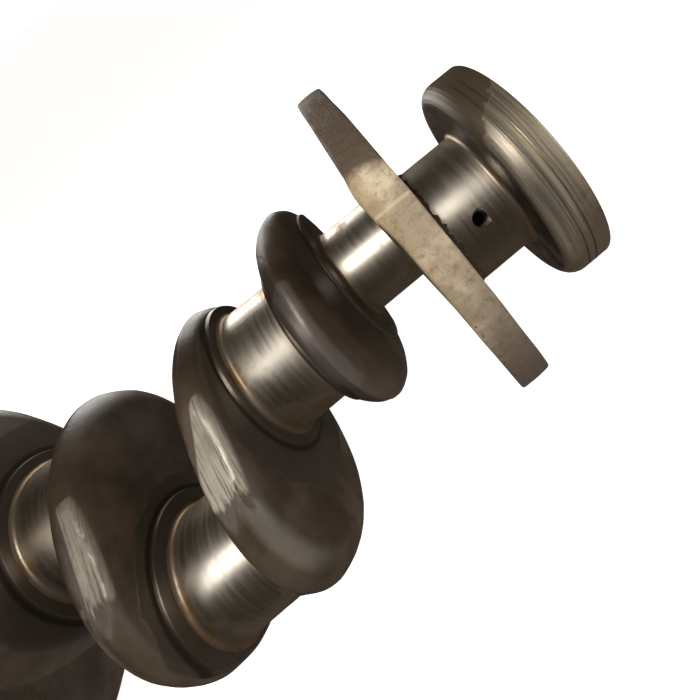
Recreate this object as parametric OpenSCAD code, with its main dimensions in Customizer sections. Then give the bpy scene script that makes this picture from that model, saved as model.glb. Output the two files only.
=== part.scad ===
// Crankshaft of a small three-cylinder engine, with the pieces that stay on it.
// The shaft's axis is X. The origin is the centre of the flywheel face, and the shaft runs from it towards -X.
// Angles are turns about +X, measured from +Z.

/* [Main journals] */
// Diameter of the main journals
main_d = 52; // [46:0.5:62]
// Length of the three front main journals
main_len = 23.5; // [20:0.5:32]
// Length of the rear main journal
rear_main_len = 26.5; // [22:0.5:34]
// Diameter of the machined face beside a main journal
main_face_d = 62.8; // [58:0.2:66]

/* [Crankpins] */
// Diameter of the crankpins
pin_d = 45.5; // [38:0.5:50]
// Length of a crankpin between its machined faces
pin_len = 31.5; // [24:0.5:38]
// Diameter of the machined face beside a crankpin
pin_face_d = 59.4; // [54:0.2:62]
// Diameter of the wider machined face on the rear plain web
wide_face_d = 74; // [62:1:78]
// Distance from the shaft's axis to a crankpin's axis, half the stroke
throw = 44.5; // [38:0.5:54]
// Radius of the fillet at each end of a journal
fillet_r = 1.6; // [0.8:0.1:2.4]

/* [Webs] */
// Thickness of a plain oval web, with its machined faces
web_t = 17; // [13:0.5:20]
// Thickness of an end web that carries a counterweight
end_web_t = 12.5; // [10:0.5:16]
// How far the machined faces stand out of a web
face_h = 1.2; // [0.6:0.1:2]
// Half the width of a web
web_half_w = 45; // [40:0.5:50]
// Web left outside the main journal's axis, on the side away from the crankpin
web_main_end = 33.5; // [32:0.5:38]
// Web left outside the crankpin's axis
web_pin_end = 26; // [25.5:0.5:32]
// Width of the bevel round a plain web's edges, at the least
web_bevel = 3; // [2:0.5:4]
// Extra width of the bevel where a web's rim leans away from a face
web_lean = 9; // [4:0.5:11]

/* [Counterweights] */
// Outer radius of the counterweights
weight_r = 70; // [62:0.5:78]
// Half the angle that a counterweight spans
weight_half_angle = 63; // [45:1:75]
// Turn of each counterweight from straight opposite its crankpin
weight_lead = 28; // [0:1:40]

/* [Oil drillings] */
// Bore of the oil drillings
oil_d = 5; // [3:0.5:6]
// Width of the chamfer at a drilling's mouth
oil_chamfer = 0.6; // [0.4:0.1:2]

/* [Flange] */
// Diameter of the flywheel flange, which is the rear seal's track
flange_d = 92; // [88:1:98]
// Thickness of the flange
flange_t = 17.5; // [16:0.5:22]
// How far the flange's rounded shoulder reaches along its rim
shoulder_h = 6.5; // [5:0.5:7]
// How far the shoulder reaches in from the rim
shoulder_w = 6; // [4:0.5:7]
// Width of the two grooves that border the seal's track
groove_w = 0.8; // [0.4:0.1:1.2]
// Depth of those grooves
groove_h = 0.5; // [0.2:0.1:1]
// Diameter of the step that centres the flywheel
register_d = 54; // [50:1:56]
// Height of that step
register_h = 3; // [2:0.5:5]
// Diameter of the circle of flywheel bolts
bolt_circle_d = 70; // [68:0.5:72]
// Number of flywheel bolts
bolt_count = 6; // [4:1:8]
// Bore of a flywheel bolt's hole
bolt_hole_d = 8.8; // [6:0.1:9]
// Depth of a flywheel bolt's hole
bolt_hole_h = 11; // [9:0.5:12]
// Diameter of the flywheel's dowel
dowel_d = 6; // [4:0.5:7]
// Length of the dowel that stands out of the flange
dowel_out = 6; // [3:0.5:8]

/* [Pilot bearing] */
// Outer diameter of the pilot bearing
pilot_d = 35; // [32:0.5:42]
// Bore of the pilot bearing
pilot_bore = 15; // [12:0.5:15]
// Width of the pilot bearing
pilot_w = 11; // [10:0.5:12]
// Number of balls in it
ball_count = 8; // [6:1:8]
// Diameter of a ball
ball_d = 5.95; // [5:0.05:6]
// Clearance between a ball and its track
ball_gap = 0.04; // [0.02:0.01:0.08]

/* [Nose] */
// Diameter of the timing gear's seat
gear_seat_d = 42; // [38:0.5:44]
// Diameter of the pulley's seat
nose_d = 34; // [30:0.5:36]
// Length of the pulley's seat, ahead of the collar
nose_len = 38; // [30:0.5:50]
// Bore of the nose bolt's hole
nose_hole_d = 12.5; // [10:0.1:14]
// Depth of the nose bolt's hole
nose_hole_h = 32; // [20:0.5:36]
// Chamfer at the nose's end
nose_chamfer = 1.5; // [0.5:0.1:3]
// Width of the grinding reliefs beside the pulley's seat and the dowel's free end
relief_w = 1.5; // [0.8:0.1:2]
// Depth of those reliefs
relief_h = 0.4; // [0.2:0.1:0.8]

/* [Timing gear, slinger and collar] */
// Number of teeth on the timing gear
gear_teeth = 28; // [26:1:36]
// Module of the timing gear
gear_module = 2.5; // [2.25:0.05:2.75]
// Width of the timing gear
gear_w = 16; // [12:0.5:20]
// Diameter of the oil slinger
slinger_d = 60; // [52:1:66]
// Thickness of the oil slinger
slinger_t = 1.5; // [1:0.1:2]
// Outer diameter of the front seal's collar
collar_d = 46; // [44:0.5:50]
// Length of the collar
collar_len = 15; // [12:0.5:20]
// Width of both keys
key_w = 8; // [6:0.5:9]
// Height of both keys
key_h = 7; // [5:0.5:7.5]
// Length of the pulley's key
pulley_key_len = 24; // [16:0.5:28]

/* [Hidden] */
$fn = 96;

steel = [0.55, 0.53, 0.49];
forging = [0.30, 0.25, 0.21];
cast_rim = [0.62, 0.52, 0.42];
seal_black = [0.08, 0.08, 0.08];
over = 1;                       // cutters run past a face by this much
outline_step = 5;               // degrees between the points of an oval web
oval_power = 2.15;              // 2 is an ellipse, and more is squarer
oval_skew = 0.1;                // how much wider a web is at its crankpin's end

// Crankpins 1, 2 and 3 are a third of a turn apart.
pin_angle = [0, 120, 240];
weight_front_angle = pin_angle[0] + 180 + weight_lead;
weight_rear_angle = pin_angle[2] + 180 - weight_lead;

// Places along the shaft, from the flywheel face forwards.
journal4_x = -flange_t - rear_main_len;
rear_web_x = journal4_x - end_web_t;
pin3_x = rear_web_x - pin_len;
web5_x = pin3_x - web_t;
journal3_x = web5_x - main_len;
web4_x = journal3_x - web_t;
pin2_x = web4_x - pin_len;
web3_x = pin2_x - web_t;
journal2_x = web3_x - main_len;
web2_x = journal2_x - web_t;
pin1_x = web2_x - pin_len;
front_web_x = pin1_x - end_web_t;
journal1_x = front_web_x - main_len;
gear_x = journal1_x - gear_w;
slinger_x = gear_x - slinger_t;
collar_x = slinger_x - collar_len;
nose_x = collar_x - nose_len;

oval_centre = (throw + web_pin_end - web_main_end) / 2;
oval_half_len = (throw + web_pin_end + web_main_end) / 2;

rim_round = 1;                // rounding of the flange's rear edge
pin_edge = 1;                   // bevel of a web's edge close to the crankpin

pilot_x = register_h - pilot_w;
pilot_mid_x = pilot_x + pilot_w / 2;
ball_circle_r = (pilot_d + pilot_bore) / 4;
race_depth = 0.375;                // how far each ball reaches into a ring
outer_land_r = ball_circle_r + ball_d / 2 - race_depth;
inner_land_r = ball_circle_r - ball_d / 2 + race_depth;
track_r = ball_d / 2 + ball_gap;
cage_wall = 0.9;
cage_gap = 0.25;
cage_len = pilot_w - 3.2;
shield_t = 0.5;
shield_gap = 0.2;

dowel_in = 9;
dowel_chamfer = 1;
dowel_angle = 180 + 180 / bolt_count;
key_sink = 0.55 * key_h;        // part of a key's height that lies in the shaft
keyway_gap = 0.05;
gear_bore_r = gear_seat_d / 2;
o_ring_r = 1;
o_ring_x = slinger_x - 4;

// Puts a shape that was drawn upwards along +X, with its own X turned to the angle given.
module along(x, angle = 0) {
    translate([x, 0, 0]) rotate([angle, 0, 0]) rotate([0, 90, 0]) rotate([0, 0, 180]) children();
}

// A ground journal with a fillet at each end.
module journal(d, len) {
    rotate_extrude() {
        square([d / 2, len]);
        journal_fillet(d, 0, 1);
        journal_fillet(d, len, -1);
    }
}

module journal_fillet(d, y, way) {
    translate([d / 2, y]) scale([1, way]) difference() {
        translate([-0.5, 0]) square([fillet_r + 0.5, fillet_r]);
        translate([fillet_r, fillet_r]) circle(r = fillet_r);
    }
}

// A straight drilling from a main journal's far side, through the web, to the outside of a crankpin.
module oil_drilling(main_x, pin_x, angle) {
    along_shaft = pin_x - main_x;
    across = throw + pin_d / 2 + main_d / 2;
    lean = atan2(along_shaft, across);
    drill_len = norm([along_shaft, across]);
    translate([main_x, 0, 0]) rotate([angle, 0, 0]) translate([0, 0, -main_d / 2]) rotate([0, lean, 0]) {
        translate([0, 0, -3 * over]) cylinder(d = oil_d, h = drill_len + 6 * over, $fn = 32);
        drill_mouth();
        translate([0, 0, drill_len]) mirror([0, 0, 1]) drill_mouth();
    }
}

module drill_mouth() {
    mouth_d = oil_d + 2 * oil_chamfer;
    translate([0, 0, -over]) cylinder(d1 = mouth_d + 2 * over, d2 = oil_d, h = oil_chamfer + 2 * over, $fn = 32);
}

module drilling_3() oil_drilling(journal4_x + rear_main_len / 2, pin3_x + pin_len / 2, pin_angle[2]);
module drilling_2() oil_drilling(journal3_x + main_len / 2, pin2_x + pin_len / 2, pin_angle[1]);
module drilling_1() oil_drilling(journal1_x + main_len / 2, pin1_x + pin_len / 2, pin_angle[0]);

// Outline of an oval web, drawn with its crankpin towards +X.
function oval_turn(c) = sign(c) * pow(abs(c), 2 / oval_power);
function oval_point(a, inset) = [
    oval_centre + (oval_half_len - inset) * oval_turn(cos(a)),
    (web_half_w - inset) * oval_turn(sin(a)) * (1 + oval_skew * cos(a))];
function oval_points(inset = 0) = [for (a = [0 : outline_step : 359]) oval_point(a, inset)];

// How near to the crankpin a point of the outline lies, from 0 to 1.
function nearness(a) = (1 + cos(a)) / 2;
function main_inset(a) = web_bevel + web_lean * nearness(a);
function pin_inset(a) = pin_edge + web_lean * (1 - nearness(a));

// One point of a plain web's edge. The rim leans from the main journal's side at one end
// to the crankpin's side at the other.
function edge_point(a, layer, t) =
    layer == 0 ? concat(oval_point(a, main_inset(a)), 0) :
    layer == 1 ? concat(oval_point(a, 0), t * (0.30 + 0.40 * nearness(a))) :
    layer == 2 ? concat(oval_point(a, 0), t * (0.50 + 0.42 * nearness(a))) :
    concat(oval_point(a, pin_inset(a)), t);

// An oval slab whose edges are bevelled, with the main journal's side at the bottom.
module leaning_slab(t) {
    count = 360 / outline_step;
    points = [for (k = [0 : 3]) for (i = [0 : count - 1]) edge_point(i * outline_step, k, t)];
    lower_half = [for (k = [0 : 2]) for (i = [0 : count - 1])
        [k * count + i, (k + 1) * count + i, k * count + (i + 1) % count]];
    upper_half = [for (k = [0 : 2]) for (i = [0 : count - 1])
        [(k + 1) * count + i, (k + 1) * count + (i + 1) % count, k * count + (i + 1) % count]];
    bottom = [for (i = [0 : count - 1]) i];
    top = [for (i = [count - 1 : -1 : 0]) 3 * count + i];
    polyhedron(points, concat(lower_half, upper_half, [bottom, top]));
}

// A plain web. The main journal's face is at the bottom, or at the top when main_on_top is true.
module plain_web(main_on_top, pin_pad_d = pin_face_d) {
    translate([0, 0, main_on_top ? web_t : 0]) mirror([0, 0, main_on_top ? 1 : 0]) {
        translate([0, 0, face_h]) leaning_slab(web_t - 2 * face_h);
        cylinder(d = main_face_d, h = 2 * face_h);
        translate([0, 0, web_t - 2 * face_h]) linear_extrude(2 * face_h) intersection() {
            translate([throw, 0]) circle(d = pin_pad_d);
            polygon([for (a = [0 : outline_step : 359]) oval_point(a, pin_inset(a))]);
        }
    }
}

// The end web's slab: an oval arm, and a sector for the counterweight with rounded tips.
module weighted_slab(weight_turn) {
    tip_r = 9;
    reach = weight_r - tip_r;
    polygon(oval_points());
    rotate([0, 0, weight_turn]) {
        intersection() {
            circle(r = weight_r, $fn = 180);
            weight_wedge(asin(tip_r / reach));
        }
        for (side = [-1, 1])
            rotate([0, 0, side * (weight_half_angle - asin(tip_r / reach))]) translate([reach, 0]) circle(r = tip_r);
    }
}

// The flank of the wedge runs through the tip's centre, and the arc stops there.
module weight_wedge(tip_angle) {
    a = weight_half_angle - tip_angle;
    far = 2 * weight_r;
    polygon([[-web_half_w / 2, 0], [far * cos(a), -far * sin(a)], [far, -far * sin(a) / 3],
        [far, far * sin(a) / 3], [far * cos(a), far * sin(a)]]);
}

module weighted_web(weight_turn, main_on_top) {
    translate([0, 0, face_h]) linear_extrude(end_web_t - 2 * face_h) weighted_slab(weight_turn);
    main_y = main_on_top ? end_web_t - 2 * face_h : 0;
    pin_y = main_on_top ? 0 : end_web_t - 2 * face_h;
    translate([0, 0, main_y]) cylinder(d = main_face_d, h = 2 * face_h);
    translate([0, 0, pin_y]) linear_extrude(2 * face_h) intersection() {
        translate([throw, 0]) circle(d = pin_face_d);
        polygon(oval_points(pin_edge));
    }
}

module flywheel_flange() {
    color(cast_rim) difference() {
        along(-flange_t) difference() {
            flange_blank();
            for (k = [0 : bolt_count - 1]) rotate([0, 0, k * 360 / bolt_count])
                translate([bolt_circle_d / 2, 0, flange_t - bolt_hole_h])
                    cylinder(d = bolt_hole_d, h = bolt_hole_h + over, $fn = 48);
            rotate([0, 0, dowel_angle]) translate([bolt_circle_d / 2, 0, flange_t - dowel_in])
                cylinder(d = dowel_d, h = dowel_in + over, $fn = 48);
        }
        along(pilot_x) cylinder(d = pilot_d, h = pilot_w + over);
        along(pilot_x - 2) cylinder(d = pilot_bore + 7, h = 2 + over);
    }
}

// Turned blank of the flange: a rounded shoulder, the seal's track with two grooves and the flywheel's step.
module flange_blank() {
    rim_r = flange_d / 2;
    face_r = rim_r - shoulder_w;
    shoulder = [for (a = [0 : 15 : 90]) [face_r + shoulder_w * sin(a), shoulder_h * (1 - cos(a))]];
    edge = [for (a = [0 : 15 : 90]) [rim_r - rim_round + rim_round * cos(a), flange_t - rim_round * (1 - sin(a))]];
    rotate_extrude() difference() {
        union() {
            polygon(concat([[0, 0]], shoulder, edge, [[0, flange_t]]));
            square([register_d / 2, flange_t + register_h]);
        }
        for (y = [shoulder_h + groove_w, 0.6 * flange_t])
            translate([rim_r - groove_h, y - groove_w / 2]) square([2 * groove_h, groove_w]);
    }
}

module main_journal_4() {
    color(steel) difference() {
        along(journal4_x) journal(main_d, rear_main_len);
        drilling_3();
    }
}

module rear_counterweight_web() {
    color(cast_rim) difference() {
        along(rear_web_x, pin_angle[2]) weighted_web(weight_rear_angle - pin_angle[2], true);
        drilling_3();
    }
}

module crankpin_3() {
    color(steel) difference() {
        along(pin3_x, pin_angle[2]) translate([throw, 0, 0]) journal(pin_d, pin_len);
        drilling_3();
    }
}

module web_5() color(forging) along(web5_x, pin_angle[2]) plain_web(false, wide_face_d);

module main_journal_3() {
    color(steel) difference() {
        along(journal3_x) journal(main_d, main_len);
        drilling_2();
    }
}

module web_4() {
    color(forging) difference() {
        along(web4_x, pin_angle[1]) plain_web(true);
        drilling_2();
    }
}

module crankpin_2() {
    color(steel) difference() {
        along(pin2_x, pin_angle[1]) translate([throw, 0, 0]) journal(pin_d, pin_len);
        drilling_2();
    }
}

module web_3() color(forging) along(web3_x, pin_angle[1]) plain_web(false);

module main_journal_2() color(steel) along(journal2_x) journal(main_d, main_len);

module web_2() color(forging) along(web2_x, pin_angle[0]) plain_web(true);

module crankpin_1() {
    color(steel) difference() {
        along(pin1_x, pin_angle[0]) translate([throw, 0, 0]) journal(pin_d, pin_len);
        drilling_1();
    }
}

module front_counterweight_web() {
    color(forging) difference() {
        along(front_web_x, pin_angle[0]) weighted_web(weight_front_angle - pin_angle[0], false);
        drilling_1();
    }
}

module main_journal_1() {
    color(steel) difference() {
        along(journal1_x) journal(main_d, main_len);
        drilling_1();
    }
}

// Stepped front end: gear seat, pulley seat, two keyways and the nose bolt's hole.
module nose_shaft() {
    color(steel) difference() {
        union() {
            along(gear_x) cylinder(d = gear_seat_d, h = gear_w);
            along(nose_x + nose_chamfer) cylinder(d = nose_d, h = gear_x - nose_x - nose_chamfer);
            along(nose_x) cylinder(d1 = nose_d - 2 * nose_chamfer, d2 = nose_d, h = nose_chamfer);
        }
        keyway(gear_x, gear_w, gear_seat_d);
        keyway(pulley_key_x(), pulley_key_len, nose_d);
        along(nose_x - over) cylinder(d = nose_hole_d, h = nose_hole_h + over, $fn = 64);
        along(o_ring_x) rotate_extrude() translate([nose_d / 2, 0]) circle(r = o_ring_r, $fn = 32);
        along(collar_x - relief_w) rotate_extrude()
            translate([nose_d / 2 - relief_h, 0]) square([2 * relief_h, relief_w]);
    }
}

function pulley_key_x() = nose_x + (nose_len - pulley_key_len) / 2;

// Slot on top of the shaft, a little wider than the key.
module keyway(x, len, seat_d) {
    translate([x, -key_w / 2 - keyway_gap, seat_d / 2 - key_sink]) cube([len, key_w + 2 * keyway_gap, key_h]);
}

module shaft_key(x, len, seat_d) {
    translate([x, -key_w / 2, seat_d / 2 - key_sink]) cube([len, key_w, key_h]);
}

module gear_key() color(steel) shaft_key(gear_x, gear_w, gear_seat_d);
module pulley_key() color(steel) shaft_key(pulley_key_x(), pulley_key_len, nose_d);

module flywheel_dowel() {
    free_z = dowel_in + relief_w;
    end_z = dowel_in + dowel_out - dowel_chamfer;
    color(steel) along(-dowel_in) rotate([0, 0, dowel_angle]) translate([bolt_circle_d / 2, 0, 0]) {
        cylinder(d = dowel_d, h = dowel_in, $fn = 48);
        cylinder(d = dowel_d - 2 * relief_h, h = free_z + over, $fn = 48);
        translate([0, 0, free_z]) cylinder(d = dowel_d, h = end_z - free_z, $fn = 48);
        translate([0, 0, end_z])
            cylinder(d1 = dowel_d, d2 = dowel_d - 2 * dowel_chamfer, h = dowel_chamfer, $fn = 48);
    }
}

// A ring whose track is a round groove about the ball circle.
module bearing_ring(inner_r, outer_r) {
    along(pilot_x) rotate_extrude() difference() {
        translate([inner_r, 0]) square([outer_r - inner_r, pilot_w]);
        translate([ball_circle_r, pilot_w / 2]) circle(r = track_r, $fn = 64);
    }
}

module pilot_outer_ring() color(steel) bearing_ring(outer_land_r, pilot_d / 2);
module pilot_inner_ring() color(steel) bearing_ring(pilot_bore / 2, inner_land_r);

module pilot_balls() {
    color(steel) for (k = [0 : ball_count - 1]) along(pilot_mid_x, k * 360 / ball_count)
        translate([ball_circle_r, 0, 0]) sphere(d = ball_d, $fn = 48);
}

// Cage: a thin band on the ball circle with a round pocket for each ball.
module pilot_cage() {
    color("darkgoldenrod") along(pilot_mid_x - cage_len / 2) difference() {
        cylinder(r = ball_circle_r + cage_wall / 2, h = cage_len);
        translate([0, 0, -over]) cylinder(r = ball_circle_r - cage_wall / 2, h = cage_len + 2 * over);
        for (k = [0 : ball_count - 1]) rotate([0, 0, k * 360 / ball_count]) translate([0, 0, cage_len / 2])
            rotate([0, 90, 0]) cylinder(d = ball_d + 2 * cage_gap, h = pilot_d, $fn = 48);
    }
}

module pilot_shields() {
    color(steel) for (x = [pilot_x + 0.6, pilot_x + pilot_w - 0.6 - shield_t]) along(x) difference() {
        cylinder(r = outer_land_r, h = shield_t);
        translate([0, 0, -over]) cylinder(r = inner_land_r + shield_gap, h = shield_t + 2 * over);
    }
}

// Tooth outline from four radii: root, two on the flank and the tip.
function gear_outline() = let (
        pitch_r = gear_teeth * gear_module / 2,
        flank = [[-1.25, 0.62], [-0.3, 0.34], [0.5, 0.2], [1, 0.11]],
        step = 360 / gear_teeth)
    [for (t = [0 : gear_teeth - 1]) for (side = [-1, 1]) for (i = [0 : len(flank) - 1])
        let (f = side < 0 ? flank[i] : flank[len(flank) - 1 - i],
            a = (t + side * f[1] / 2) * step,
            r = pitch_r + f[0] * gear_module)
        [r * cos(a), r * sin(a)]];

module timing_gear() {
    color(forging) difference() {
        along(gear_x) difference() {
            linear_extrude(gear_w) polygon(gear_outline());
            translate([0, 0, -over]) cylinder(r = gear_bore_r, h = gear_w + 2 * over);
        }
        translate([gear_x - over, -key_w / 2 - keyway_gap, 0])
            cube([gear_w + 2 * over, key_w + 2 * keyway_gap, gear_seat_d / 2 + key_h - key_sink + 0.2]);
    }
}

module oil_slinger() {
    rim_r = slinger_d / 2;
    color("slategray") along(slinger_x) rotate_extrude() {
        translate([nose_d / 2, 0]) square([rim_r - nose_d / 2 - 3, slinger_t]);
        polygon([[rim_r - 4, 0], [rim_r - 3, 0], [rim_r, -2.5], [rim_r, -2.5 + slinger_t], [rim_r - 3, slinger_t],
            [rim_r - 4, slinger_t]]);
    }
}

module seal_collar() {
    edge = 0.8;
    color(steel) along(collar_x) rotate_extrude() difference() {
        translate([nose_d / 2, 0]) square([(collar_d - nose_d) / 2, collar_len]);
        for (y = [0, collar_len]) translate([collar_d / 2, y]) rotate([0, 0, 45])
            square(edge * sqrt(2), center = true);
    }
}

module collar_o_ring() {
    color(seal_black) along(o_ring_x) rotate_extrude() difference() {
        translate([nose_d / 2, 0]) circle(r = o_ring_r, $fn = 32);
        translate([nose_d / 2, -2 * o_ring_r]) square([2 * o_ring_r, 4 * o_ring_r]);
    }
}

flywheel_flange();
main_journal_4();
rear_counterweight_web();
crankpin_3();
web_5();
main_journal_3();
web_4();
crankpin_2();
web_3();
main_journal_2();
web_2();
crankpin_1();
front_counterweight_web();
main_journal_1();
nose_shaft();
flywheel_dowel();
pilot_outer_ring();
pilot_inner_ring();
pilot_balls();
pilot_cage();
pilot_shields();
timing_gear();
gear_key();
oil_slinger();
seal_collar();
collar_o_ring();
pulley_key();
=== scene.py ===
import bmesh
import bpy
import math
from mathutils import Matrix, Vector, noise


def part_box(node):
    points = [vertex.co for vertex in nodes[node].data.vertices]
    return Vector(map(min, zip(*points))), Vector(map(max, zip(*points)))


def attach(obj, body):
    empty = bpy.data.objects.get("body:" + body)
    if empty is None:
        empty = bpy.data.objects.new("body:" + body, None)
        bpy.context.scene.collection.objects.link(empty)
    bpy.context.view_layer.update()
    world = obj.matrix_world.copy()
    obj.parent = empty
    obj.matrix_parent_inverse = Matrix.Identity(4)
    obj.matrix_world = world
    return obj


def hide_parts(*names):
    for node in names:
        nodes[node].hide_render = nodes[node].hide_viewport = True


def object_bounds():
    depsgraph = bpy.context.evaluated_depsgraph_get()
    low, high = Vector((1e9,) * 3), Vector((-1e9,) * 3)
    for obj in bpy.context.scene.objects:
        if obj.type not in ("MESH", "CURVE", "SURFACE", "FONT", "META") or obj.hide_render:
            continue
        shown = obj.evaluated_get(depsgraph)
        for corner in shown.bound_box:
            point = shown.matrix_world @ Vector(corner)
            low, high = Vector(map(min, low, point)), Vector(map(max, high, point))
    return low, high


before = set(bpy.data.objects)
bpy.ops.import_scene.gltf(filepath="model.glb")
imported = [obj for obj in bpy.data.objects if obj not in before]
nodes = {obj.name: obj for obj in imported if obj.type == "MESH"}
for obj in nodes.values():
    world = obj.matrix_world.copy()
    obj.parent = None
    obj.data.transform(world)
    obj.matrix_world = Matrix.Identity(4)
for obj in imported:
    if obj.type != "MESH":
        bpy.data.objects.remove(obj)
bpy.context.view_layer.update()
print("crankshaft: the CAD nodes are loaded")

# Sizes shared by the webs, in millimetres
shaft = {
    "throw": 44.5,
    "mainRadius": 26.0,
    "pinRadius": 22.75,
    "pinFaceRadius": 29.7,
    "webMainEnd": 33.5,
    "webPinEnd": 26,
    "webHalfWidth": 45,
    "ovalPower": 2.15,
    "ovalSkew": 0.1,
    "mainFaceRadius": 31.4,
    "faceHeight": 1.2,
}


# Unit vector across the shaft, at a turn in degrees from +Z towards -Y.
def direction(turn):
    a = math.radians(turn)
    return Vector((0, -math.sin(a), math.cos(a)))


def unevenness(point, size, seed):
    return noise.noise(Vector(point) / size + Vector((seed * 7.3, seed * 3.1, seed * 5.7)))


# Material tools
def startMaterial(name):
    mat = bpy.data.materials.new(name)
    mat.use_nodes = True
    return mat, mat.node_tree, mat.node_tree.nodes["Principled BSDF"]


def put(tree, socket, value):
    if isinstance(value, bpy.types.NodeSocket):
        tree.links.new(value, socket)
    elif isinstance(value, (tuple, list)) and len(value) == 3 and socket.type == "RGBA":
        socket.default_value = (*value, 1)
    else:
        socket.default_value = value


def calc(tree, operation, a, b=0.0):
    n = tree.nodes.new("ShaderNodeMath")
    n.operation = operation
    for socket, value in zip(n.inputs, (a, b)):
        put(tree, socket, value)
    return n.outputs[0]


def times(tree, a, b):
    return calc(tree, "MULTIPLY", a, b)


def plus(tree, a, b):
    return calc(tree, "ADD", a, b)


def minus(tree, a, b):
    return calc(tree, "SUBTRACT", a, b)


def mixColour(tree, amount, first, second):
    n = tree.nodes.new("ShaderNodeMix")
    n.data_type = "RGBA"
    put(tree, n.inputs[0], amount)
    put(tree, n.inputs[6], first)
    put(tree, n.inputs[7], second)
    return n.outputs[2]


# A smooth ramp from outLow to outHigh as the value goes from low to high.
def between(tree, value, low, high, outLow=0.0, outHigh=1.0):
    n = tree.nodes.new("ShaderNodeMapRange")
    n.interpolation_type = "SMOOTHSTEP"
    for socket, v in zip(n.inputs, (value, low, high, outLow, outHigh)):
        put(tree, socket, v)
    return n.outputs[0]


def place(tree, scale=(1, 1, 1), shift=(0, 0, 0)):
    coords = tree.nodes.new("ShaderNodeTexCoord")
    m = tree.nodes.new("ShaderNodeMapping")
    m.inputs["Scale"].default_value = scale
    m.inputs["Location"].default_value = shift
    tree.links.new(coords.outputs["Object"], m.inputs["Vector"])
    return m.outputs[0]


# Noise that stays with the part. Scales are per metre along X, Y and Z.
def grain(tree, scale, detail, rough, shift):
    if not isinstance(scale, (tuple, list)):
        scale = (scale, scale, scale)
    n = tree.nodes.new("ShaderNodeTexNoise")
    n.inputs["Scale"].default_value = 1.0
    n.inputs["Detail"].default_value = detail
    n.inputs["Roughness"].default_value = rough
    tree.links.new(place(tree, scale, shift), n.inputs["Vector"])
    return n.outputs["Fac"]


# Small round marks: 1 inside a mark, 0 elsewhere. Only some of the cells hold one.
def marks(tree, perMetre, share, radius, shift):
    n = tree.nodes.new("ShaderNodeTexVoronoi")
    n.inputs["Scale"].default_value = perMetre
    tree.links.new(place(tree, shift=shift), n.inputs["Vector"])
    parts = tree.nodes.new("ShaderNodeSeparateColor")
    tree.links.new(n.outputs["Color"], parts.inputs[0])
    chosen = calc(tree, "LESS_THAN", parts.outputs[0], share)
    spot = between(tree, n.outputs["Distance"], radius, radius * 0.4)
    return times(tree, chosen, spot)


def axisParts(tree):
    coords = tree.nodes.new("ShaderNodeTexCoord")
    n = tree.nodes.new("ShaderNodeSeparateXYZ")
    tree.links.new(coords.outputs["Object"], n.inputs[0])
    return n.outputs[0], n.outputs[1], n.outputs[2]


def distanceFrom(tree, y, z, centre):
    dy = minus(tree, y, centre[0])
    dz = minus(tree, z, centre[1])
    return calc(tree, "SQRT", plus(tree, calc(tree, "POWER", dy, 2.0), calc(tree, "POWER", dz, 2.0)))


def turnOf(tree, y, z):
    return calc(tree, "ARCTAN2", times(tree, y, -1.0), z)


def bumpOf(tree, height, depth, strength=1.0):
    n = tree.nodes.new("ShaderNodeBump")
    n.inputs["Strength"].default_value = strength
    n.inputs["Distance"].default_value = depth
    put(tree, n.inputs["Height"], height)
    return n.outputs[0]


# Ground journals
groundLook = {
    "bright": (0.60, 0.56, 0.50),
    # this brown is partly oil film and partly painted shade and reflection on the journal's sides
    "oilAndShade": (0.27, 0.185, 0.11),
    "pitColour": (0.05, 0.035, 0.025),
    "roughness": 0.35,
    "lineDepth": 0.0000035,
    "pitShare": 0.03,
    # the turn of the highlight on each journal; shade and reflection are painted in away from it
    "highlightTurn": 36,
    # painted shade inside the oil hole
    "holeShade": (0.006, 0.005, 0.004),
    "lineColour": (0.30, 0.27, 0.24),
}


def groundSteel(name, seed, lowX, highX, centre, radius, look=groundLook):
    mat, tree, shader = startMaterial(name)
    x, y, z = axisParts(tree)
    off = (seed * 0.37, seed * 0.61, seed * 0.23)
    fine = grain(tree, (5200, 90, 90), 3, 0.6, off)
    coarse = grain(tree, (900, 30, 30), 3, 0.6, off)
    cloud = grain(tree, 55, 5, 0.6, off)
    nearEnd = calc(tree, "MAXIMUM", between(tree, x, lowX + 0.0045, lowX + 0.0012),
                   between(tree, x, highX - 0.0045, highX - 0.0012))
    # mask towards the oily brown: oil film in clouds, darker towards both ends, plus painted shade and
    # reflection away from the highlight
    film = plus(tree, between(tree, cloud, 0.50, 0.74, 0.0, 0.75), times(tree, nearEnd, 0.55))
    film = plus(tree, film, between(tree, coarse, 0.4, 0.8, 0.0, 0.14))
    turn = turnOf(tree, minus(tree, y, centre[0]), minus(tree, z, centre[1]))
    # painted shade and reflection, growing with the angle away from the highlight
    offHighlight = calc(tree, "ABSOLUTE", minus(tree, turn, math.radians(look["highlightTurn"])))
    film = plus(tree, film, between(tree, offHighlight, math.radians(28), math.radians(75), 0.0, 0.6))
    film = between(tree, film, 0.0, 1.0)
    pits = marks(tree, 210, look["pitShare"], 0.13, off)
    colour = mixColour(tree, film, look["bright"], look["oilAndShade"])
    colour = mixColour(tree, between(tree, fine, 0.3, 0.7, 0.0, 0.16), colour, look["lineColour"])
    colour = mixColour(tree, times(tree, pits, 0.85), colour, look["pitColour"])
    far = distanceFrom(tree, y, z, centre)
    inHole = between(tree, far, radius - 0.0007, radius - 0.0018)  # painted shade: the oil hole's walls are made near-black
    colour = mixColour(tree, inHole, colour, look["holeShade"])
    put(tree, shader.inputs["Base Color"], colour)
    dull = plus(tree, times(tree, film, 0.12), times(tree, inHole, 0.8))
    put(tree, shader.inputs["Metallic"], minus(tree, 1.0, dull))
    rough = plus(tree, look["roughness"], times(tree, film, 0.12))
    rough = plus(tree, rough, between(tree, coarse, 0.3, 0.7, -0.04, 0.05))
    put(tree, shader.inputs["Roughness"], plus(tree, rough, times(tree, pits, 0.3)))
    height = minus(tree, fine, times(tree, pits, 6.0))
    put(tree, shader.inputs["Normal"], bumpOf(tree, height, look["lineDepth"]))
    return mat


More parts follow.
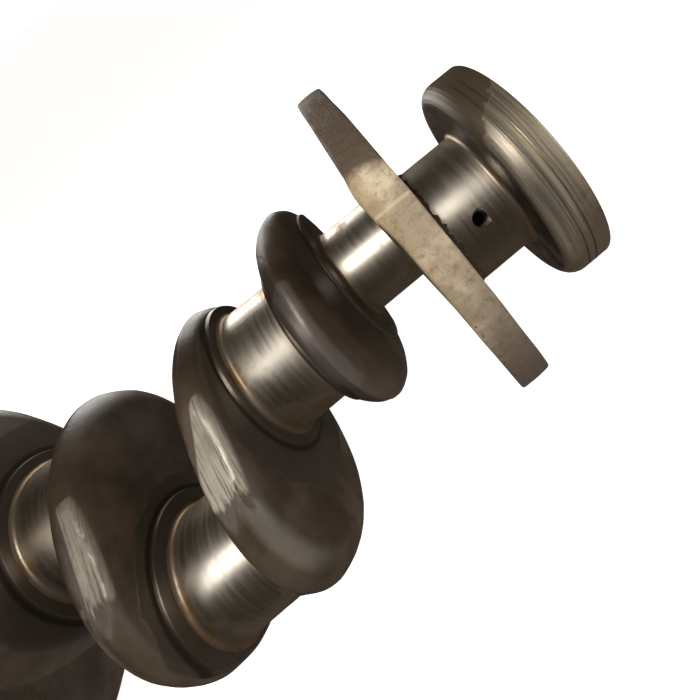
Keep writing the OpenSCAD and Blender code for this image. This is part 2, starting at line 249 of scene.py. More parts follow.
# Forged webs
forgedLook = {
    "dark": (0.034, 0.023, 0.014),
    "oil": (0.070, 0.047, 0.030),
    "rubbed": (0.12, 0.095, 0.075),
    "machined": (0.125, 0.105, 0.085),
    "flatBright": (0.44, 0.41, 0.35),
    "discEdge": 0.0006,
    "roughness": 0.40,
    "skinDepth": 0.00016,
}


def forged(name, seed, web, look=forgedLook):
    mat, tree, shader = startMaterial(name)
    x, y, z = axisParts(tree)
    off = (seed * 0.41, seed * 0.17, seed * 0.59)
    cloud = grain(tree, 42, 5, 0.6, off)
    skin = grain(tree, 420, 6, 0.65, off)
    coarse = grain(tree, 130, 4, 0.6, off)
    ragged = times(tree, minus(tree, coarse, 0.5), 0.006)
    pinAt = direction(web["turn"]) * shaft["throw"] / 1000
    fromMain = distanceFrom(tree, y, z, (0.0, 0.0))
    fromPin = distanceFrom(tree, y, z, (pinAt.y, pinAt.z))
    # machined faces: a disc beside each journal, cut in from the face's own plane
    way = 1.0 if web["mainX"] > web["pinX"] else -1.0
    mainDepth = times(tree, minus(tree, web["mainX"] / 1000, x), way)
    pinDepth = times(tree, minus(tree, x, web["pinX"] / 1000), way)
    soft = look["discEdge"]
    nearMain = between(tree, plus(tree, fromMain, ragged), web["mainDisc"] + soft, web["mainDisc"] - soft)
    nearPin = between(tree, plus(tree, fromPin, ragged), web["pinDisc"] + soft, web["pinDisc"] - soft)
    onMain = times(tree, nearMain, between(tree, mainDepth, web["discDepth"], web["discDepth"] - 0.0015))
    onPin = times(tree, nearPin, between(tree, pinDepth, 0.0031, 0.0021))
    machined = calc(tree, "MAXIMUM", onMain, onPin)
    turnedRings = grain(tree, (40, 40, 40), 2, 0.5, off)
    ringMain = calc(tree, "SINE", times(tree, fromMain, 9000.0))
    colour = mixColour(tree, between(tree, cloud, 0.35, 0.7), look["dark"], look["oil"])
    colour = mixColour(tree, between(tree, skin, 0.62, 0.85, 0.0, 0.45), colour, look["rubbed"])
    colour = mixColour(tree, times(tree, machined, between(tree, cloud, 0.3, 0.75, 1.0, 0.55)),
                       colour, look["machined"])
    # painted shade: a dark line just outside each journal's own raised ring, where its step falls into shadow
    rings = ((fromMain, shaft["mainFaceRadius"] / 1000, onMain),
             (fromPin, shaft["pinFaceRadius"] / 1000, onPin))
    for far, radius, here in rings:
        line = calc(tree, "ABSOLUTE", minus(tree, far, radius + 0.0009))
        ringShade = times(tree, between(tree, line, 0.0016, 0.0004), here)
        colour = mixColour(tree, times(tree, ringShade, 0.8), colour, look["dark"])
    metal = times(tree, machined, 0.75)
    rough = plus(tree, look["roughness"], between(tree, cloud, 0.3, 0.7, -0.06, 0.12))
    rough = minus(tree, rough, times(tree, machined, 0.06))
    if web.get("flat"):
        # the flank that faces away at -v was ground flat: bright, with streaks along the web
        flat = web["flat"]
        along = direction(web["turn"])
        across = direction(web["turn"] + 90)
        u = plus(tree, times(tree, y, along.y), times(tree, z, along.z))
        v = plus(tree, times(tree, y, across.y), times(tree, z, across.z))
        streaks = grain(tree, (1500, 60, 60), 5, 0.7, off)
        torn = times(tree, minus(tree, grain(tree, (700, 120, 120), 4, 0.6, off), 0.5), 0.020)
        inFlat = between(tree, v, -flat["v"] + 0.0028, -flat["v"] + 0.0012)
        uTorn = plus(tree, u, torn)
        inFlat = times(tree, inFlat, between(tree, uTorn, flat["from"], flat["from"] + 0.003))
        inFlat = times(tree, inFlat, between(tree, uTorn, flat["to"], flat["to"] - 0.004))
        # its left edge runs at a slant, and comes to a point at the top
        slant = plus(tree, flat["edge"], times(tree, minus(tree, u, 0.0035), flat["slant"]))
        fromEdge = minus(tree, x, slant)
        inFlat = times(tree, inFlat, between(tree, fromEdge, 0.0, 0.0008))
        point = plus(tree, u, times(tree, minus(tree, x, flat["tip"]), 0.4545))
        inFlat = times(tree, inFlat, between(tree, point, 0.0008, 0.002))
        fade = between(tree, x, flat["right"], flat["right"] - 0.003, 0.0, 1.0)
        inFlat = times(tree, inFlat, fade)
        bright = times(tree, inFlat, between(tree, streaks, 0.36, 0.56, 0.25, 1.0))
        thin = times(tree, between(tree, fromEdge, 0.0012, 0.0004), inFlat)
        bright = calc(tree, "MAXIMUM", bright, thin)
        strip = calc(tree, "ABSOLUTE", minus(tree, x, flat["strip"]))
        inStrip = times(tree, between(tree, strip, 0.0032, 0.0008),
                       between(tree, uTorn, flat["to"] - 0.001, flat["to"] + 0.006))
        inStrip = times(tree, inStrip, between(tree, u, 0.068, 0.055))
        inStrip = times(tree, inStrip, between(tree, v, 0.0, -0.010))
        bright = calc(tree, "MAXIMUM", bright, times(tree, inStrip, 0.30))
        colour = mixColour(tree, times(tree, bright, flat["bright"]), colour, look["flatBright"])
        metal = calc(tree, "MAXIMUM", metal, times(tree, bright, 0.8))
        rough = plus(tree, rough, times(tree, bright, 0.02))
    if web.get("bevelSheen"):
        # painted sheen: the bevel is lighter and more metallic across the turns that face the lamps
        bevelSheen = web["bevelSheen"]
        turn = turnOf(tree, y, z)
        inBevelSheen = times(tree, between(tree, x, bevelSheen["x"][0], bevelSheen["x"][0] + 0.0015),
                       between(tree, x, bevelSheen["x"][1] + 0.0018, bevelSheen["x"][1]))
        torn = times(tree, minus(tree, coarse, 0.5), 0.3)
        turnTorn = plus(tree, turn, torn)
        a, b = (math.radians(t) for t in bevelSheen["turns"])
        inBevelSheen = times(tree, inBevelSheen, between(tree, turnTorn, a, a + 0.12))
        inBevelSheen = times(tree, inBevelSheen, between(tree, turnTorn, b, b - 0.35))
        colour = mixColour(tree, times(tree, inBevelSheen, bevelSheen["bright"]), colour, bevelSheen["colour"])
        metal = calc(tree, "MAXIMUM", metal, times(tree, inBevelSheen, 0.55))
    put(tree, shader.inputs["Base Color"], colour)
    put(tree, shader.inputs["Metallic"], metal)
    put(tree, shader.inputs["Roughness"], rough)
    put(tree, shader.inputs["Specular IOR Level"], 0.5)
    calm = minus(tree, 1.0, times(tree, machined, 0.85))
    height = times(tree, plus(tree, skin, times(tree, coarse, 1.4)), calm)
    height = plus(tree, height, times(tree, times(tree, ringMain, onMain), 0.02))
    height = plus(tree, height, times(tree, turnedRings, 0.2))
    put(tree, shader.inputs["Normal"], bumpOf(tree, height, look["skinDepth"], 0.75))
    return mat


# Rough counterweight plate
castLook = {
    "cream": (0.38, 0.305, 0.215),
    "pale": (0.72, 0.61, 0.45),
    "brown": (0.105, 0.075, 0.052),
    "flank": (0.05, 0.037, 0.027),
    "speck": (0.045, 0.030, 0.020),
    "yellow": (0.36, 0.26, 0.12),
    "seamTurn": 36,
    "gritDepth": 0.0007,
}


def castPlate(name, seed, plate, look=castLook):
    mat, tree, shader = startMaterial(name)
    x, y, z = axisParts(tree)
    off = (seed * 0.29, seed * 0.53, seed * 0.37)
    far = distanceFrom(tree, y, z, (0.0, 0.0))
    turn = turnOf(tree, y, z)
    cloud = grain(tree, 60, 5, 0.6, off)
    skin = grain(tree, 520, 6, 0.7, off)
    coarse = grain(tree, 170, 4, 0.6, off)
    torn = times(tree, minus(tree, cloud, 0.5), 0.22)
    turnTorn = plus(tree, turn, torn)
    onRim = between(tree, plus(tree, far, times(tree, minus(tree, coarse, 0.5), 0.003)),
                    plate["radius"] - 0.0040, plate["radius"] - 0.0018)
    # painted light: across the turns that face the lamps the rim is cream with pale clouds, and brown beyond
    # them
    a, b = (math.radians(t) for t in plate["pale"])
    middle = times(tree, between(tree, turnTorn, a - 0.04, a + 0.05), between(tree, turnTorn, b, b - 0.75))
    rim = mixColour(tree, middle, look["brown"], look["cream"])
    rim = mixColour(tree, times(tree, between(tree, cloud, 0.45, 0.7), middle), rim, look["pale"])
    low = between(tree, x, plate["x"][0] + 0.005, plate["x"][0] + 0.0005)
    rim = mixColour(tree, times(tree, times(tree, low, middle), 0.6), rim, look["yellow"])
    colour = mixColour(tree, onRim, look["flank"], rim)
    specks = marks(tree, 520, 0.25, 0.30, off)
    nearEdge = between(tree, x, plate["x"][0] + 0.004, plate["x"][0] + 0.001, 0.25, 0.9)
    colour = mixColour(tree, times(tree, specks, nearEdge), colour, look["speck"])
    colour = mixColour(tree, between(tree, skin, 0.45, 0.75, 0.0, 0.6), colour, look["brown"])
    seam = calc(tree, "ABSOLUTE", minus(tree, turn, math.radians(look["seamTurn"])))
    colour = mixColour(tree, between(tree, seam, 0.010, 0.004, 0.0, 0.45), colour, look["pale"])
    put(tree, shader.inputs["Base Color"], colour)
    put(tree, shader.inputs["Metallic"], 0.15)
    put(tree, shader.inputs["Roughness"], between(tree, cloud, 0.3, 0.7, 0.50, 0.68))
    grit = grain(tree, 1500, 4, 0.7, off)
    height = plus(tree, times(tree, coarse, 1.6), skin)
    height = plus(tree, height, times(tree, grit, 0.5))
    put(tree, shader.inputs["Normal"], bumpOf(tree, height, look["gritDepth"], 0.9))
    return mat


# Turned flange
flangeLook = {
    "satin": (0.66, 0.57, 0.43),
    "grey": (0.27, 0.245, 0.21),
    "film": (0.105, 0.076, 0.050),
    "dark": (0.028, 0.022, 0.017),
    "rust": (0.30, 0.13, 0.06),
    "roughness": 0.50,
    "bandDepth": 0.000045,
}


def turnedFlange(name, seed, flange, look=flangeLook):
    mat, tree, shader = startMaterial(name)
    x, y, z = axisParts(tree)
    off = (seed * 0.31, seed * 0.47, seed * 0.19)
    far = distanceFrom(tree, y, z, (0.0, 0.0))
    turn = turnOf(tree, y, z)
    bands = grain(tree, (850, 14, 14), 4, 0.6, off)
    fine = grain(tree, (4200, 70, 70), 3, 0.6, off)
    cloud = grain(tree, 75, 5, 0.62, off)
    onRim = between(tree, far, flange["radius"] - 0.0060, flange["radius"] - 0.0030)
    # partly real, partly painted sheen: the turned satin metal shows, more metallic, only across the turns
    # that face the lamps, with the dark film elsewhere
    a, b = (math.radians(t) for t in flange["clean"])
    torn = times(tree, minus(tree, cloud, 0.5), 0.5)
    slanted = plus(tree, turn, times(tree, plus(tree, x, 0.009), 22.0))
    turnTorn = plus(tree, slanted, torn)
    clean = times(tree, between(tree, turnTorn, a - 0.03, a + 0.03), between(tree, turnTorn, b, b - 0.9))
    metal = mixColour(tree, between(tree, bands, 0.38, 0.62), look["satin"], look["grey"])
    filmy = mixColour(tree, between(tree, cloud, 0.55, 0.75, 0.0, 0.55), look["film"], look["dark"])
    colour = mixColour(tree, times(tree, clean, 0.92), filmy, metal)
    rust = times(tree, marks(tree, 330, 0.10, 0.30, off), between(tree, turn, 0.9, 1.3))
    colour = mixColour(tree, times(tree, rust, 0.7), colour, look["rust"])
    blot = times(tree, marks(tree, 95, 0.22, 0.24, off), minus(tree, 1.0, clean))
    colour = mixColour(tree, times(tree, blot, 0.6), colour, look["dark"])
    shoulder = mixColour(tree, between(tree, cloud, 0.4, 0.7), look["dark"], look["film"])
    colour = mixColour(tree, onRim, shoulder, colour)
    put(tree, shader.inputs["Base Color"], colour)
    put(tree, shader.inputs["Metallic"], plus(tree, 0.35, times(tree, clean, 0.5)))
    rough = minus(tree, look["roughness"], times(tree, clean, 0.12))
    put(tree, shader.inputs["Roughness"], plus(tree, rough, between(tree, bands, 0.3, 0.7, -0.04, 0.05)))
    height = plus(tree, times(tree, bands, 3.0), fine)
    height = plus(tree, height, times(tree, cloud, 2.0))
    put(tree, shader.inputs["Normal"], bumpOf(tree, height, look["bandDepth"], 0.8))
    return mat


# Plain turned, pressed and cut parts
def wornMetal(name, seed, look):
    mat, tree, shader = startMaterial(name)
    off = (seed * 0.43, seed * 0.21, seed * 0.67)
    fine = grain(tree, look.get("lines", (2600, 80, 80)), 3, 0.6, off)
    cloud = grain(tree, 90, 5, 0.6, off)
    skin = grain(tree, 700, 5, 0.6, off)
    colour = mixColour(tree, between(tree, cloud, 0.42, 0.72, 0.0, 0.8), look["clean"], look["film"])
    colour = mixColour(tree, between(tree, fine, 0.35, 0.7, 0.0, 0.25), colour, look["film"])
    colour = mixColour(tree, between(tree, skin, 0.62, 0.8, 0.0, 0.3), colour, look["film"])
    put(tree, shader.inputs["Base Color"], colour)
    put(tree, shader.inputs["Metallic"], look.get("metallic", 1.0))
    rough = plus(tree, look["roughness"], between(tree, cloud, 0.3, 0.7, -0.05, 0.10))
    put(tree, shader.inputs["Roughness"], rough)
    height = plus(tree, fine, times(tree, skin, look.get("skin", 0.4)))
    put(tree, shader.inputs["Normal"], bumpOf(tree, height, look.get("depth", 0.00002)))
    return mat


wornLooks = {
    "turned": {"clean": (0.46, 0.43, 0.39), "film": (0.20, 0.15, 0.10), "roughness": 0.36},
    "bearing": {"clean": (0.62, 0.61, 0.60), "film": (0.32, 0.28, 0.22), "roughness": 0.22,
                "depth": 0.000008},
    "pressed": {"clean": (0.36, 0.35, 0.34), "film": (0.14, 0.12, 0.10), "roughness": 0.38},
    "gear": {"clean": (0.26, 0.23, 0.20), "film": (0.09, 0.07, 0.05), "roughness": 0.36},
    "brass": {"clean": (0.60, 0.44, 0.20), "film": (0.26, 0.17, 0.08), "roughness": 0.34},
    "rubber": {"clean": (0.020, 0.020, 0.020), "film": (0.045, 0.038, 0.030), "roughness": 0.62,
               "metallic": 0.0},
    "grime": {"clean": (0.040, 0.026, 0.014), "film": (0.085, 0.055, 0.028), "roughness": 0.55,
              "metallic": 0.0, "lines": (900, 900, 900), "skin": 2.0, "depth": 0.0003},
}


def paint(node, mat):
    obj = nodes[node]
    if not obj.material_slots:
        obj.data.materials.append(mat)
    for s in obj.material_slots:
        s.material = mat


# Mesh tools
# Joins rings of points, given in millimetres and in order. When capped, both ends get a flat face.
def loft(name, rings, capped=True):
    bm = bmesh.new()
    made = [[bm.verts.new(Vector(p) / 1000) for p in ring] for ring in rings]
    count = len(rings[0])
    for one, other in zip(made, made[1:]):
        for i in range(count):
            j = (i + 1) % count
            bm.faces.new((one[i], one[j], other[j], other[i]))
    if capped:
        bm.faces.new(list(reversed(made[0])))
        bm.faces.new(made[-1])
    bmesh.ops.recalc_face_normals(bm, faces=bm.faces)
    mesh = bpy.data.meshes.new(name)
    bm.to_mesh(mesh)
    bm.free()
    return mesh


def finishMesh(name, meshes, mat, sharp=32):
    bm = bmesh.new()
    for m in meshes:
        bm.from_mesh(m)
    mesh = bpy.data.meshes.new(name)
    bm.to_mesh(mesh)
    bm.free()
    for m in meshes:
        bpy.data.meshes.remove(m)
    mesh.shade_smooth()
    mesh.set_sharp_from_angle(angle=math.radians(sharp))
    mesh.materials.append(mat)
    obj = bpy.data.objects.new(name, mesh)
    bpy.context.collection.objects.link(obj)
    return obj


def ovalCentre():
    return (shaft["throw"] + shaft["webPinEnd"] - shaft["webMainEnd"]) / 2


def ovalHalf():
    return (shaft["throw"] + shaft["webPinEnd"] + shaft["webMainEnd"]) / 2


def ovalPoint(angle, inset):
    def rounder(c):
        return math.copysign(abs(c) ** (2 / shaft["ovalPower"]), c)
    u = ovalCentre() + (ovalHalf() - inset) * rounder(math.cos(angle))
    v = (shaft["webHalfWidth"] - inset) * rounder(math.sin(angle))
    return u, v * (1 + shaft["ovalSkew"] * math.cos(angle))


# How far a point lies out in the oval: 1 on its outline.
def ovalLevel(u, v, inset):
    part = abs(u - ovalCentre()) / (ovalHalf() - inset)
    if part >= 1:
        return 2
    cosine = math.copysign(part ** (shaft["ovalPower"] / 2), u - ovalCentre())
    wide = (shaft["webHalfWidth"] - inset) * (1 + shaft["ovalSkew"] * cosine)
    return part ** shaft["ovalPower"] + (abs(v) / wide) ** shaft["ovalPower"]


def toShaft(x, turn, u, v):
    p = direction(turn) * u + direction(turn + 90) * v
    return Vector((x, p.y, p.z))


ringShape = {"points": 144, "edge": 0.45, "edgeStart": 0.7, "step": 0.25, "least": 5}


# A raised ring round a journal, kept inside the web's outline.
def ringFace(name, turn, centreU, radius, x0, x1, inset):
    s = ringShape
    rings = []
    for x, shrink in ((x0, 0.0), (x0 + (x1 - x0) * s["edgeStart"], 0.0), (x1, s["edge"])):
        ring = []
        for i in range(s["points"]):
            a = 2 * math.pi * i / s["points"]
            r = radius - shrink
            while r > s["least"] and ovalLevel(centreU + r * math.cos(a), r * math.sin(a), inset) > 1:
                r -= s["step"]
            ring.append(toShaft(x, turn, centreU + r * math.cos(a), r * math.sin(a)))
        rings.append(ring)
    return loft(name, rings)


# 1 when the web's crankpin lies towards the flywheel, -1 when it lies towards the nose.
def wayOf(web):
    return 1 if web["pinX"] > web["mainX"] else -1


# The two raised rings of a web, beside its main journal and beside its crankpin.
def bothRings(name, web, pinFace, mainInset):
    drop = 2 * wayOf(web) * shaft["faceHeight"]
    mainX, pinX = web["mainX"], web["pinX"]
    return [
        ringFace(name, web["turn"], 0, shaft["mainFaceRadius"], mainX + drop, mainX, mainInset),
        ringFace(name, web["turn"], shaft["throw"], pinFace, pinX - drop, pinX, 1),
    ]


# Plain webs
# mainX and pinX are the planes of the two machined faces.
webSettings = {
    "web_5": {"turn": 240, "mainX": -105.0, "pinX": -88.0, "pinFace": 37.0, "seed": 5,
              "mainDisc": 0.0375, "pinDisc": 0.0365, "discDepth": 0.0075,
              # painted sheen on this web's bevel where it faces the lamps
              "bevelSheen": {"x": (-0.1045, -0.0955), "turns": (12, 92), "bright": 0.55,
                        "colour": (0.24, 0.21, 0.20)}},
    "web_4": {"turn": 120, "mainX": -128.5, "pinX": -145.5, "pinFace": shaft["pinFaceRadius"], "seed": 4,
              "mainDisc": 0.0455, "pinDisc": 0.0310, "discDepth": 0.0034,
              "flatAt": 43.2,
              "flat": {"v": 0.0432, "from": -0.004, "to": 0.036, "bright": 0.8, "edge": -0.1357,
                       "slant": -0.346, "tip": -0.1302, "right": -0.1280, "strip": -0.1345}},
    "web_3": {"turn": 120, "mainX": -194.0, "pinX": -177.0, "pinFace": shaft["pinFaceRadius"], "seed": 3,
              "mainDisc": 0.0400, "pinDisc": 0.0360, "discDepth": 0.0034,
              "flatAt": 43.2,
              "flat": {"v": 0.0432, "from": -0.006, "to": 0.034, "bright": 0.62, "edge": -0.1850,
                       "slant": -0.04, "tip": -0.1790, "right": -0.1745, "strip": -0.1875}},
    "web_2": {"turn": 0, "mainX": -217.5, "pinX": -234.5, "pinFace": shaft["pinFaceRadius"], "seed": 2,
              "mainDisc": 0.0440, "pinDisc": 0.0310, "discDepth": 0.0034},
}
webShape = {
    "points": 240,
    "steps": 7,
    "bevel": 3.0,
    "lean": 9.0,
    "pinEdge": 1.0,
    "roundness": 0.6,
    "swell": 0.5,
    "low": (0.30, 0.40),  # start of the rim, in shares of the thickness: at the main end, and more at the pin
    "high": (0.50, 0.42),  # end of the rim, in the same way
    "lumps": 0.22,
    "lumpSize": 9,
}


def webRings(web):
    s = webShape
    way = wayOf(web)
    thick = abs(web["pinX"] - web["mainX"]) - 2 * shaft["faceHeight"]
    base = web["mainX"] + way * shaft["faceHeight"]
    profile = []
    for k in range(s["steps"] + 1):
        profile.append(("main", math.pi / 2 * k / s["steps"]))
    profile += [("rim", 0.33), ("rim", 0.67)]
    for k in range(s["steps"], -1, -1):
        profile.append(("pin", math.pi / 2 * k / s["steps"]))
    rings = []
    for side, t in profile:
        ring = []
        for i in range(s["points"]):
            a = 2 * math.pi * i / s["points"]
            near = (1 + math.cos(a)) / 2
            low = s["low"][0] + s["low"][1] * near
            high = s["high"][0] + s["high"][1] * near
            if side == "rim":
                inset = -s["swell"] * math.sin(math.pi * t)
                rise = low + (high - low) * t
            else:
                full = s["bevel"] + s["lean"] * near
                if side == "pin":
                    full = s["pinEdge"] + s["lean"] * (1 - near)
                bend = s["roundness"]
                part = t / (math.pi / 2)
                inset = full * (bend * (1 - math.sin(t)) + (1 - bend) * (1 - part))
                up = bend * (1 - math.cos(t)) + (1 - bend) * part
                rise = low * up if side == "main" else 1 - (1 - high) * up
            u, v = ovalPoint(a, inset)
            if web.get("flatAt"):
                v = max(v, -web["flatAt"])
            p = toShaft(base + way * rise * thick, web["turn"], u, v)
            onFace = rise in (0, 1)
            lump = 0 if onFace else s["lumps"] * unevenness(p, s["lumpSize"], web["seed"])
            middle = toShaft(p.x, web["turn"], ovalCentre(), 0)
            p += (p - middle).normalized() * lump
            ring.append(p)
        rings.append(ring)
    return rings


for name, web in webSettings.items():
    mat = forged(name + " forging", web["seed"], web)
    parts = [loft(name, webRings(web))] + bothRings(name, web, web["pinFace"], 1)
    obj = finishMesh(name + "_forging", parts, mat)
    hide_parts(name)
    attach(obj, "crankshaft")
print("crankshaft: plain webs")

# End webs with their counterweights
endWebs = {
    "rear_counterweight_web": {"turn": 240, "mainX": -44.0, "pinX": -56.5, "weightTurn": 152, "seed": 8,
                               "lumps": 0.45, "edge": 1.0, "bump": {"turn": 30, "width": 9, "height": 2.4}},
    "front_counterweight_web": {"turn": 0, "mainX": -278.5, "pinX": -266.0, "weightTurn": 208, "seed": 9,
                                "lumps": 0.4, "edge": 1.8, "bump": None,
                                "mainDisc": 0.0330, "pinDisc": 0.0310, "discDepth": 0.0030},
}
weightShape = {
    "radius": 70.0,
    "half": 63.0,
    "tip": 3.0,
    "shoulder": 60.3,
    "shoulderFall": 240,
    "points": 420,
    "softening": 6,
    "rimSwell": 0.35,
    "rimSteps": 5,
    "flatStart": 1.4,
}


# Distance from the shaft's axis to the outline, at an angle from the crankpin.
def weightReach(angle, web):
    w = weightShape
    reach = w["radius"] - w["tip"]
    tipTurn = math.asin(w["tip"] / reach)
    edge = math.radians(w["half"]) - tipTurn
    off = abs((angle - math.radians(web["weightTurn"]) + math.pi) % (2 * math.pi) - math.pi)
    if off <= edge:
        far = w["radius"]
    elif off <= edge + tipTurn:
        past = off - edge
        far = reach * math.cos(past) + math.sqrt(max(w["tip"] ** 2 - (reach * math.sin(past)) ** 2, 0))
    else:
        far = max(0, w["shoulder"] - (off - edge - tipTurn) * w["shoulderFall"])
    low, high = 5.0, 90.0
    for _ in range(24):
        mid = (low + high) / 2
        if ovalLevel(mid * math.cos(angle), mid * math.sin(angle), 0) > 1:
            high = mid
        else:
            low = mid
    return max(far, low)


def endWebRings(web):
    w = weightShape
    way = wayOf(web)
    h = shaft["faceHeight"]
    thick = abs(web["pinX"] - web["mainX"]) - 2 * h
    base = web["mainX"] + way * h
    e = web["edge"]
    quarterTurn = (0, 0.4, 0.8, 1.2, 1.571)
    steps = w["rimSteps"]
    profile = [(0, e * w["flatStart"])]
    profile += [(e * (1 - math.cos(t)), e * (1 - math.sin(t))) for t in quarterTurn]
    for k in range(1, steps):
        profile.append((e + (thick - 2 * e) * k / steps, -w["rimSwell"] * math.sin(math.pi * k / steps)))
    profile += [(thick - e * (1 - math.cos(t)), e * (1 - math.sin(t))) for t in reversed(quarterTurn)]
    profile.append((thick, e * w["flatStart"]))
    n = w["points"]
    reach = [weightReach(2 * math.pi * i / n, web) for i in range(n)]
    # softens the corners where the arm meets the weight
    for _ in range(w["softening"]):
        reach = [(reach[i - 1] + 2 * reach[i] + reach[(i + 1) % n]) / 4 for i in range(n)]
    rings = []
    for z, inset in profile:
        ring = []
        for i in range(n):
            a = 2 * math.pi * i / n
            r = reach[i] - inset
            p = toShaft(base + way * z, web["turn"], r * math.cos(a), r * math.sin(a))
            out = Vector((0, p.y, p.z)).normalized()
            rough = unevenness(p, 11, web["seed"]) + 0.4 * unevenness(p, 4, web["seed"] + 3)
            p += out * web["lumps"] * rough
            share = z / thick
            p.x += 0.5 * web["lumps"] * unevenness(p, 14, web["seed"] + 5) * min(1, inset + 1)
            if web["bump"] and share > 0.5:
                turn = (web["turn"] + math.degrees(a)) % 360
                off = (turn - web["bump"]["turn"] + 180) % 360 - 180
                lift = way * web["bump"]["height"] * math.exp(-(off / web["bump"]["width"]) ** 2)
                p.x += lift * (share - 0.5) * 2
            ring.append(p)
        rings.append(ring)
    return rings


# pale gives the turns of the plate's rim that are painted as lit
plateLook = {"radius": 0.070, "x": (-0.0565, -0.044), "pale": (27, 88)}
for name, web in endWebs.items():
    if name.startswith("rear"):
        mat = castPlate(name, web["seed"], plateLook)
    else:
        mat = forged(name + " forging", web["seed"], web)
    parts = [loft(name, endWebRings(web))] + bothRings(name, web, shaft["pinFaceRadius"], -20)
    obj = finishMesh(name + "_forging", parts, mat, 40)
    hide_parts(name)
    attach(obj, "crankshaft")
print("crankshaft: end webs")

# Dried oil in the corner behind the rear web
grimeLook = {
    "x": -44.0,
    "radius": 26.0,
    "width": 2.5,
    "height": 0.7,
    "section": ((-0.2, -0.4), (1.0, -0.3), (0.75, 0.35), (0.25, 0.8), (-0.2, 1.0), (-0.2, -0.4)),
    "points": 260,
    "least": 0.3,
}
rings = []
for k, (reachX, reachR) in enumerate(grimeLook["section"]):
    ring = []
    for i in range(grimeLook["points"]):
        a = 2 * math.pi * i / grimeLook["points"]
        d = Vector((0, -math.sin(a), math.cos(a)))
        wobble = 1 + 0.5 * noise.noise(d * 9 + Vector((0, 3, 0)))
        wobble += 0.45 * noise.noise(d * 34 + Vector((5, 0, k * 0.1)))
        wobble = max(wobble, grimeLook["least"])
        x = grimeLook["x"] + reachX * grimeLook["width"] * (wobble if reachX > 0 else 1)
        r = grimeLook["radius"] + reachR * grimeLook["height"] * (wobble if reachR > 0 else 1)
        ring.append(Vector((x, d.y * r, d.z * r)))
    rings.append(ring)
grimeMat = wornMetal("dried oil", 21, wornLooks["grime"])
grime = finishMesh("dried_oil", [loft("dried oil", rings, False)], grimeMat, 60)
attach(grime, "crankshaft")
print("crankshaft: dried oil")

# Materials of the nodes kept from the CAD
groundNodes = [
    "main_journal_4", "crankpin_3", "main_journal_3", "crankpin_2",
    "main_journal_2", "crankpin_1", "main_journal_1",
]
# clean is the span of turns where the flange's satin metal is painted in as sheen
flangeShape = {"radius": 0.046, "clean": (22, 98)}
for k, name in enumerate(groundNodes):
    low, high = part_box(name)
    centre = ((low.y + high.y) / 2, (low.z + high.z) / 2)
    radius = shaft["pinRadius" if name.startswith("crankpin") else "mainRadius"] / 1000
    paint(name, groundSteel(name + " steel", 3 + k, low.x, high.x, centre, radius))
paint("flywheel_flange", turnedFlange("flange", 2, flangeShape))
wornNodes = {
    "nose_shaft": "turned", "seal_collar": "turned", "gear_key": "turned", "pulley_key": "turned",
    "flywheel_dowel": "bearing", "pilot_outer_ring": "bearing", "pilot_inner_ring": "bearing",
    "pilot_balls": "bearing", "pilot_cage": "brass", "pilot_shields": "pressed", "oil_slinger": "pressed",
    "timing_gear": "gear", "collar_o_ring": "rubber",
}
for k, (name, look) in enumerate(wornNodes.items()):
    paint(name, wornMetal(name + " finish", 30 + k, wornLooks[look]))
print("crankshaft: finishes")

# Stage
stageLook = {
    "floor": (0.95, 0.95, 0.95),
    "floorSize": 6.0,
    "glow": 1.0,
    "backdrop": (1.0, 1.0, 1.0),
    "surround": (0.045, 0.033, 0.022),
    "surroundStrength": 1.0,
}
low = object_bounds()[0]
floorMesh = bpy.data.meshes.new("floor")
bm = bmesh.new()
bmesh.ops.create_grid(bm, x_segments=2, y_segments=2, size=stageLook["floorSize"])
bm.to_mesh(floorMesh)
bm.free()
floor = bpy.data.objects.new("floor", floorMesh)
bpy.context.collection.objects.link(floor)
floor.location = (0, 0, low.z)
floor.visible_glossy = False
floorMat, tree, shader = startMaterial("floor")
put(tree, shader.inputs["Base Color"], stageLook["floor"])
put(tree, shader.inputs["Roughness"], 0.9)
put(tree, shader.inputs["Emission Color"], stageLook["floor"])
put(tree, shader.inputs["Emission Strength"], stageLook["glow"])
floorMesh.materials.append(floorMat)

scene = bpy.context.scene
world = bpy.data.worlds.new("studio")
scene.world = world
world.use_nodes = True
tree = world.node_tree
back = tree.nodes["Background"]
path = tree.nodes.new("ShaderNodeLightPath")
seen = mixColour(tree, path.outputs["Is Camera Ray"], stageLook["surround"], stageLook["backdrop"])
put(tree, back.inputs["Color"], seen)
back.inputs["Strength"].default_value = stageLook["surroundStrength"]

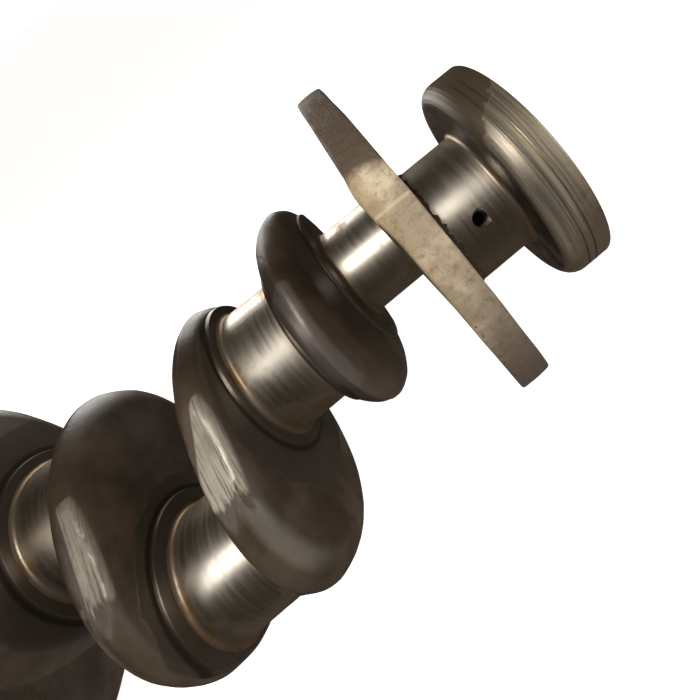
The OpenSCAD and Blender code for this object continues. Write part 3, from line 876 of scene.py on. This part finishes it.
lamps = {
    "key": {"at": (-0.085, -0.120, 0.215), "aim": (-0.09, 0, 0), "size": 0.09, "power": 0.33,
            "colour": (1.0, 0.95, 0.87)},
    "left": {"at": (-0.34, -0.19, 0.25), "aim": (-0.19, 0, 0), "size": 0.14, "power": 0.34,
             "colour": (1.0, 0.96, 0.90)},
    "behind": {"at": (-0.22, 0.46, 0.06), "aim": (-0.17, 0, 0), "size": 0.30, "power": 1.3,
               "colour": (1.0, 0.97, 0.92)},
    "right": {"at": (0.22, -0.15, 0.10), "aim": (-0.05, 0, 0), "size": 0.20, "power": 0.35,
              "colour": (1.0, 0.95, 0.88)},
}
for name, lamp in lamps.items():
    data = bpy.data.lights.new(name, "AREA")
    data.energy = lamp["power"]
    data.size = lamp["size"]
    data.color = lamp["colour"]
    obj = bpy.data.objects.new(name, data)
    bpy.context.collection.objects.link(obj)
    obj.location = lamp["at"]
    obj.rotation_mode = "QUATERNION"
    obj.rotation_quaternion = (Vector(lamp["aim"]) - Vector(lamp["at"])).to_track_quat("-Z", "Y")

# Camera
cameraLook = {
    "at": (-0.05066, -0.13779, 0.13332),
    "forward": (0.0451, 0.7791, -0.6253),
    "up": (0.6321, 0.4625, 0.6218),
    "lens": 24.966,
    "shift": (-0.0892, -0.2251),
}
cameraData = bpy.data.cameras.new("camera")
camera = bpy.data.objects.new("camera", cameraData)
bpy.context.collection.objects.link(camera)
forward = Vector(cameraLook["forward"]).normalized()
up = Vector(cameraLook["up"])
up = (up - up.dot(forward) * forward).normalized()
side = forward.cross(up)
camera.matrix_world = Matrix((
    (side.x, up.x, -forward.x, cameraLook["at"][0]),
    (side.y, up.y, -forward.y, cameraLook["at"][1]),
    (side.z, up.z, -forward.z, cameraLook["at"][2]),
    (0, 0, 0, 1)))
cameraData.sensor_width = 36
cameraData.lens = cameraLook["lens"]
cameraData.shift_x, cameraData.shift_y = cameraLook["shift"]
cameraData.clip_start = 0.005
scene.camera = camera
scene.view_settings.view_transform = "Standard"
print("crankshaft: stage and camera")
